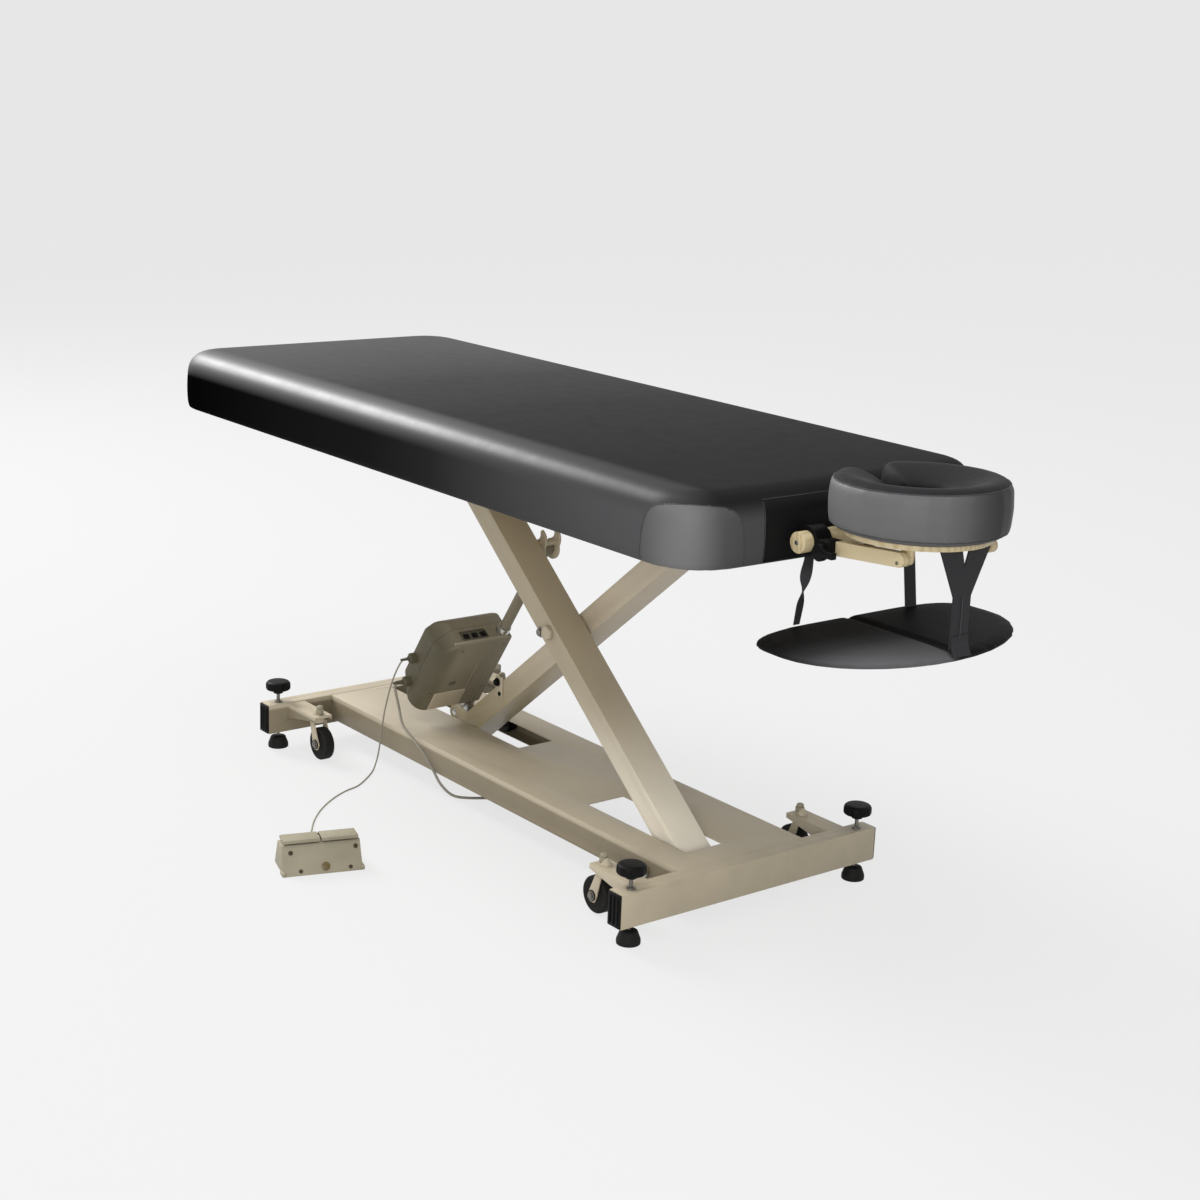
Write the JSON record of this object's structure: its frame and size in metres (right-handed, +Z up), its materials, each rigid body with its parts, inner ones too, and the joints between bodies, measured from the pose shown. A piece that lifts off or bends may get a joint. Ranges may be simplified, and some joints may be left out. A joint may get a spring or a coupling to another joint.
{
  "type": "electric massage table",
  "caption": "Electric lift massage table with a padded top, scissor legs, a linear actuator, a tilting face cradle with an armrest sling, and a foot pedal on a cord.",
  "frame": {"origin": "on the floor, under the middle of the box round everything but the cords", "axes": "+X towards the face cradle, +Y towards the far long side, +Z up"},
  "size_m": [2.174, 1.0348, 0.9018],
  "materials": {
    "cream_powder_coat": "satin",
    "steel": "satin",
    "black_plastic": "matte",
    "maple": "satin",
    "beige_plastic": "matte",
    "upholstery": "satin",
    "webbing": "matte",
    "cord_jacket": "matte"
  },
  "bodies": {
    "base": {"base_pan": "cream_powder_coat", "foot_crossbar": "cream_powder_coat", "foot_crossbar_cap_near": "black_plastic", "foot_crossbar_cap_far": "black_plastic", "head_crossbar": "cream_powder_coat", "head_crossbar_cap_near": "black_plastic", "head_crossbar_cap_far": "black_plastic", "base_axle": "steel", "pedal_case": "beige_plastic", "mains_coil": "cord_jacket", "mains_plug": "black_plastic"},
    "leg_a": {"leg_a": "cream_powder_coat", "centre_pin": "steel", "actuator_horn": "cream_powder_coat"},
    "leg_b": {"leg_b": "cream_powder_coat"},
    "roller_low": {"roller_shaft_low": "black_plastic"},
    "roller_high": {"roller_shaft_high": "black_plastic"},
    "cords": {"pedal_cord": "cord_jacket", "mains_cord": "cord_jacket"},
    "actuator": {"drive_unit": "steel", "outer_tube": "steel", "housing_cover": "beige_plastic", "housing_shell": "beige_plastic"},
    "rod": {"actuator_rod": "cream_powder_coat"},
    "top": {"top_frame": "cream_powder_coat", "top_axle": "steel", "side_frame": "upholstery", "deck_board": "maple", "cushion": "upholstery"},
    "cradle_yoke": {"cradle_dowel": "maple", "cradle_rod_near": "steel", "cradle_rod_far": "steel"},
    "cradle_rails": {"cradle_clamp_near": "black_plastic", "cradle_clamp_far": "black_plastic", "cradle_rail_near": "maple", "cradle_rail_far": "maple", "armrest_sling": "webbing", "sling_front_strap": "webbing"},
    "cradle_head": {"cradle_platform": "maple", "face_cushion": "upholstery"},
    "lever_near": {"cam_lever_near": "black_plastic"},
    "lever_far": {"cam_lever_far": "black_plastic"},
    "treadle_left": {"pedal_treadle_left": "beige_plastic"},
    "treadle_right": {"pedal_treadle_right": "beige_plastic"},
    "levelling_foot_foot_near": {"levelling_pad_foot_near": "black_plastic", "levelling_knob_foot_near": "black_plastic"},
    "fork_foot_near": {"caster_fork_foot_near": "cream_powder_coat"},
    "wheel_foot_near": {"caster_wheel_foot_near": "black_plastic"},
    "levelling_foot_foot_far": {"levelling_pad_foot_far": "black_plastic", "levelling_knob_foot_far": "black_plastic"},
    "fork_foot_far": {"caster_fork_foot_far": "cream_powder_coat"},
    "wheel_foot_far": {"caster_wheel_foot_far": "black_plastic"},
    "levelling_foot_head_near": {"levelling_pad_head_near": "black_plastic", "levelling_knob_head_near": "black_plastic"},
    "fork_head_near": {"caster_fork_head_near": "cream_powder_coat"},
    "wheel_head_near": {"caster_wheel_head_near": "black_plastic"},
    "levelling_foot_head_far": {"levelling_pad_head_far": "black_plastic", "levelling_knob_head_far": "black_plastic"},
    "fork_head_far": {"caster_fork_head_far": "cream_powder_coat"},
    "wheel_head_far": {"caster_wheel_head_far": "black_plastic"}
  },
  "joints": [
    {"name": "lift", "type": "hinge", "parent": "base", "child": "leg_a", "pos_m": [0.442, 0.1474, 0.075], "axis": [0, -1, 0], "range_deg": [0, 23.5]},
    {"name": "scissor", "type": "hinge", "parent": "leg_a", "child": "leg_b", "pos_m": [0.0078, 0.1474, 0.42786], "axis": [0, 1, 0], "range_deg": [0, 47]},
    {"name": "top_level", "type": "hinge", "parent": "leg_b", "child": "top", "pos_m": [0.442, 0.1474, 0.78073], "axis": [0, 1, 0], "range_deg": [-23.5, 0]},
    {"name": "roller_low_spin", "type": "hinge", "parent": "leg_b", "child": "roller_low", "pos_m": [-0.4264, 0.1474, 0.075], "axis": [0, 1, 0], "continuous": true},
    {"name": "roller_high_spin", "type": "hinge", "parent": "leg_a", "child": "roller_high", "pos_m": [-0.4264, 0.1474, 0.78073], "axis": [0, 1, 0], "continuous": true},
    {"name": "actuator_swing", "type": "hinge", "parent": "leg_b", "child": "actuator", "pos_m": [-0.477, 0.1894, 0.105], "axis": [0, 1, 0], "range_deg": [0, 10.49]},
    {"name": "actuator_stroke", "type": "slide", "parent": "actuator", "child": "rod", "axis": [0.5598, 0, 0.8286], "range_m": [-0.1554, 0]},
    {"name": "cords_hold", "type": "hinge", "parent": "actuator", "child": "cords", "pos_m": [-0.54467, 0.1474, 0.43001], "axis": [0, 1, 0], "range_deg": [-34, 0], "deforming": ["pedal_cord", "mains_cord"]},
    {"name": "cradle_reach", "type": "slide", "parent": "top", "child": "cradle_yoke", "axis": [1, 0, 0], "range_m": [0, 0.1]},
    {"name": "cradle_tilt", "type": "hinge", "parent": "cradle_yoke", "child": "cradle_rails", "pos_m": [0.798, 0.1474, 0.793], "axis": [0, 1, 0], "range_deg": [-15, 30]},
    {"name": "head_tilt", "type": "hinge", "parent": "cradle_rails", "child": "cradle_head", "pos_m": [0.998, 0.1474, 0.8015], "axis": [0, 1, 0], "range_deg": [0, 30], "deforming": ["sling_front_strap"]},
    {"name": "lever_near_turn", "type": "hinge", "parent": "cradle_rails", "child": "lever_near", "pos_m": [0.84, 0.0101, 0.783], "axis": [0, 1, 0], "range_deg": [0, 90]},
    {"name": "lever_far_turn", "type": "hinge", "parent": "cradle_rails", "child": "lever_far", "pos_m": [0.84, 0.2847, 0.783], "axis": [0, 1, 0], "range_deg": [0, 90]},
    {"name": "treadle_left_press", "type": "hinge", "parent": "base", "child": "treadle_left", "pos_m": [-0.0817, -0.4235, 0.0617], "axis": [0.2974, 0.9548, 0], "range_deg": [0, 3], "stiffness_Nm_per_rad": 4},
    {"name": "treadle_right_press", "type": "hinge", "parent": "base", "child": "treadle_right", "pos_m": [-0.0817, -0.4235, 0.0617], "axis": [0.2974, 0.9548, 0], "range_deg": [0, 3], "stiffness_Nm_per_rad": 4},
    {"name": "swivel_foot_near", "type": "hinge", "parent": "base", "child": "fork_foot_near", "pos_m": [-0.621, -0.1046, 0.06], "axis": [0, 0, 1], "continuous": true},
    {"name": "roll_foot_near", "type": "hinge", "parent": "fork_foot_near", "child": "wheel_foot_near", "pos_m": [-0.603, -0.1046, 0.041], "axis": [0, 1, 0], "continuous": true},
    {"name": "level_foot_near", "type": "slide", "parent": "base", "child": "levelling_foot_foot_near", "axis": [0, 0, 1], "range_m": [-0.012, 0.012]},
    {"name": "swivel_foot_far", "type": "hinge", "parent": "base", "child": "fork_foot_far", "pos_m": [-0.621, 0.3994, 0.06], "axis": [0, 0, 1], "continuous": true},
    {"name": "roll_foot_far", "type": "hinge", "parent": "fork_foot_far", "child": "wheel_foot_far", "pos_m": [-0.603, 0.3994, 0.041], "axis": [0, 1, 0], "continuous": true},
    {"name": "level_foot_far", "type": "slide", "parent": "base", "child": "levelling_foot_foot_far", "axis": [0, 0, 1], "range_m": [-0.012, 0.012]},
    {"name": "swivel_head_near", "type": "hinge", "parent": "base", "child": "fork_head_near", "pos_m": [0.442, -0.1046, 0.06], "axis": [0, 0, 1], "continuous": true},
    {"name": "roll_head_near", "type": "hinge", "parent": "fork_head_near", "child": "wheel_head_near", "pos_m": [0.424, -0.1046, 0.041], "axis": [0, 1, 0], "continuous": true},
    {"name": "level_head_near", "type": "slide", "parent": "base", "child": "levelling_foot_head_near", "axis": [0, 0, 1], "range_m": [-0.012, 0.012]},
    {"name": "swivel_head_far", "type": "hinge", "parent": "base", "child": "fork_head_far", "pos_m": [0.442, 0.3994, 0.06], "axis": [0, 0, 1], "continuous": true},
    {"name": "roll_head_far", "type": "hinge", "parent": "fork_head_far", "child": "wheel_head_far", "pos_m": [0.424, 0.3994, 0.041], "axis": [0, 1, 0], "continuous": true},
    {"name": "level_head_far", "type": "slide", "parent": "base", "child": "levelling_foot_head_far", "axis": [0, 0, 1], "range_m": [-0.012, 0.012]}
  ],
  "couplings": [
    {"joint": "scissor", "follows": "lift", "ratio": 2},
    {"joint": "top_level", "follows": "lift", "ratio": -1},
    {"joint": "actuator_swing", "follows": "lift", "ratio": 0.4461},
    {"joint": "actuator_stroke", "follows": "lift", "m_per_rad": -0.37879},
    {"joint": "cords_hold", "follows": "lift", "ratio": -1.4461}
  ]
}
